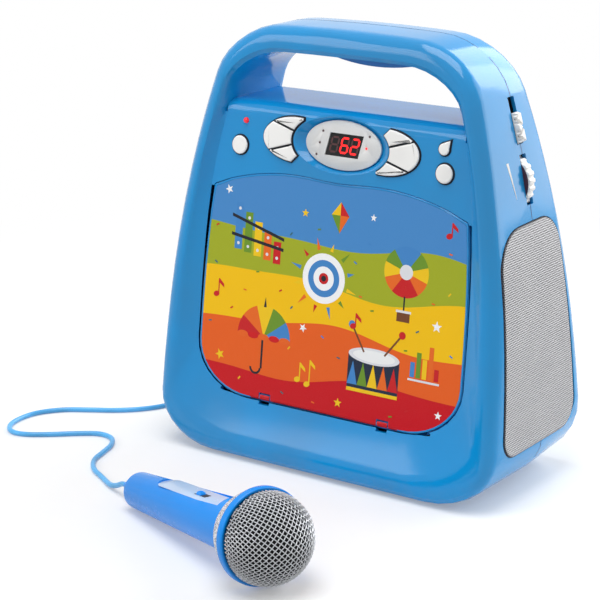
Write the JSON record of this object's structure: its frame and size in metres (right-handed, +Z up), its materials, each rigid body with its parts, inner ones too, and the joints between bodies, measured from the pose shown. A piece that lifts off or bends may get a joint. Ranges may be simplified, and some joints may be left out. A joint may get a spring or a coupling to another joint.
{
  "type": "portable karaoke machine with disc tray",
  "caption": "Portable karaoke machine: handled cabinet, front disc lid over a spindle and laser sled, display and keys, side controls, side speakers, corded microphone.",
  "frame": {"origin": "under the middle of the cabinet on the surface it stands on, in the middle between the four feet", "axes": "+Z up, front of the cabinet towards -Y, its side controls on +X"},
  "size_m": [0.3817, 0.4328, 0.3],
  "materials": {
    "shell_front": "deep blue moulding",
    "shell_rear": "pale blue moulding",
    "lid": "mid blue moulding",
    "picture": "printed insert in bright bands",
    "tray": "blue moulding",
    "dark_plastic": "black",
    "steel": "plain",
    "board": "green resist",
    "key": "white",
    "bezel": "light grey",
    "lamp": "clear red",
    "gearing": "ivory",
    "brass": "turned",
    "grille": "pale grey perforated sheet",
    "lens": "coated lens",
    "rubber": "black",
    "mic_blue": "bright blue moulding",
    "mic_silver": "silver speckle",
    "mic_mesh": "woven wire",
    "cord": "bright blue sheath"
  },
  "bodies": {
    "cabinet": {"front_shell": "shell_front", "rear_shell": "shell_rear", "lid_hinge_pins": "steel", "disc_tray": "tray", "mech_frame": "dark_plastic", "guide_rods": "steel", "spindle_motor": "steel", "feed_motor": "steel", "control_board": "board", "key_switches": "dark_plastic", "display_bezel": "bezel", "display_module": "dark_plastic", "power_led": "lamp", "side_board": "board", "slide_switch": "dark_plastic", "volume_pot": "dark_plastic", "baffle_right": "tray", "baffle_left": "tray", "grille_right": "grille", "grille_left": "grille", "speaker_right": "dark_plastic", "speaker_left": "dark_plastic", "battery_box": "shell_rear", "battery_contacts": "steel", "socket_plate": "dark_plastic", "sockets": "steel", "main_board": "board", "housing_screws": "steel", "feet": "rubber", "mic_body": "mic_blue", "mic_head": "mic_silver", "mic_ball": "mic_mesh", "mic_capsule": "dark_plastic", "mic_cord_sleeve": "mic_blue", "mic_cord": "cord", "mic_cord_coil": "cord", "mic_plug": "mic_blue"},
    "lid": {"disc_lid": "lid", "lid_picture": "picture"},
    "turntable": {"turntable_hub": "dark_plastic"},
    "sled": {"pickup_sled": "dark_plastic", "pickup_lens": "lens"},
    "feed_wheel": {"feed_gear": "gearing"},
    "feed_pinion": {"motor_pinion": "brass"},
    "function_switch": {"function_knob": "key"},
    "volume": {"volume_wheel": "key"},
    "microphone_switch": {"mic_switch": "mic_blue"},
    "rear_door": {"battery_door": "shell_rear"},
    "press_left_round": {"button_left_round": "key"},
    "press_left_upper": {"key_left_upper": "key"},
    "press_left_middle": {"key_left_middle": "key"},
    "press_left_lower": {"key_left_lower": "key"},
    "press_right_upper": {"key_right_upper": "key"},
    "press_right_middle": {"key_right_middle": "key"},
    "press_right_lower": {"key_right_lower": "key"},
    "press_teardrop": {"button_teardrop": "key"},
    "press_right_round": {"button_right_round": "key"}
  },
  "joints": [
    {"name": "lid_hinge", "type": "hinge", "parent": "cabinet", "child": "lid", "pos_m": [0, -0.05142, 0.04553], "axis": [1, 0, 0], "range_deg": [0, 50]},
    {"name": "turntable_spin", "type": "hinge", "parent": "cabinet", "child": "turntable", "pos_m": [0, -0.02645, 0.11603], "axis": [0, -0.9934, 0.1149], "continuous": true},
    {"name": "sled_slide", "type": "slide", "parent": "cabinet", "child": "sled", "axis": [0, -0.1149, -0.9934], "range_m": [0, 0.034]},
    {"name": "feed_wheel_spin", "type": "hinge", "parent": "cabinet", "child": "feed_wheel", "pos_m": [-0.03, -0.01687, 0.08573], "axis": [0, -0.9934, 0.1149], "range_deg": [-282, 4]},
    {"name": "feed_pinion_spin", "type": "hinge", "parent": "cabinet", "child": "feed_pinion", "pos_m": [-0.03895, -0.01341, 0.09819], "axis": [0, -0.9934, 0.1149], "range_deg": [-8, 936]},
    {"name": "function_slide", "type": "slide", "parent": "cabinet", "child": "function_switch", "axis": [-0.2704, 0, 0.9627], "range_m": [0, 0.0082]},
    {"name": "volume_turn", "type": "hinge", "parent": "cabinet", "child": "volume", "pos_m": [0.10308, 0.006, 0.20671], "axis": [0, 1, 0], "range_deg": [-140, 140]},
    {"name": "microphone_switch_slide", "type": "slide", "parent": "cabinet", "child": "microphone_switch", "axis": [0.9263, -0.3556, 0.1245], "range_m": [0, 0.004]},
    {"name": "battery_door_hinge", "type": "hinge", "parent": "cabinet", "child": "rear_door", "pos_m": [0, 0.06034, 0.04461], "axis": [-1, 0, 0], "range_deg": [0, 70]},
    {"name": "press_left_round_slide", "type": "slide", "parent": "cabinet", "child": "press_left_round", "axis": [0, 0.9934, -0.1149], "range_m": [0, 0.0009], "stiffness_N_per_m": 500, "springref_m": -0.0005},
    {"name": "press_left_upper_slide", "type": "slide", "parent": "cabinet", "child": "press_left_upper", "axis": [0, 0.9934, -0.1149], "range_m": [0, 0.0009], "stiffness_N_per_m": 500, "springref_m": -0.0005},
    {"name": "press_left_middle_slide", "type": "slide", "parent": "cabinet", "child": "press_left_middle", "axis": [0, 0.9934, -0.1149], "range_m": [0, 0.0009], "stiffness_N_per_m": 500, "springref_m": -0.0005},
    {"name": "press_left_lower_slide", "type": "slide", "parent": "cabinet", "child": "press_left_lower", "axis": [0, 0.9934, -0.1149], "range_m": [0, 0.0009], "stiffness_N_per_m": 500, "springref_m": -0.0005},
    {"name": "press_right_upper_slide", "type": "slide", "parent": "cabinet", "child": "press_right_upper", "axis": [0, 0.9934, -0.1149], "range_m": [0, 0.0009], "stiffness_N_per_m": 500, "springref_m": -0.0005},
    {"name": "press_right_middle_slide", "type": "slide", "parent": "cabinet", "child": "press_right_middle", "axis": [0, 0.9934, -0.1149], "range_m": [0, 0.0009], "stiffness_N_per_m": 500, "springref_m": -0.0005},
    {"name": "press_right_lower_slide", "type": "slide", "parent": "cabinet", "child": "press_right_lower", "axis": [0, 0.9934, -0.1149], "range_m": [0, 0.0009], "stiffness_N_per_m": 500, "springref_m": -0.0005},
    {"name": "press_teardrop_slide", "type": "slide", "parent": "cabinet", "child": "press_teardrop", "axis": [0, 0.9934, -0.1149], "range_m": [0, 0.0009], "stiffness_N_per_m": 500, "springref_m": -0.0005},
    {"name": "press_right_round_slide", "type": "slide", "parent": "cabinet", "child": "press_right_round", "axis": [0, 0.9934, -0.1149], "range_m": [0, 0.0009], "stiffness_N_per_m": 500, "springref_m": -0.0005}
  ],
  "couplings": [
    {"joint": "feed_wheel_spin", "follows": "sled_slide", "rad_per_m": -142.86},
    {"joint": "feed_pinion_spin", "follows": "sled_slide", "rad_per_m": 476.19}
  ]
}
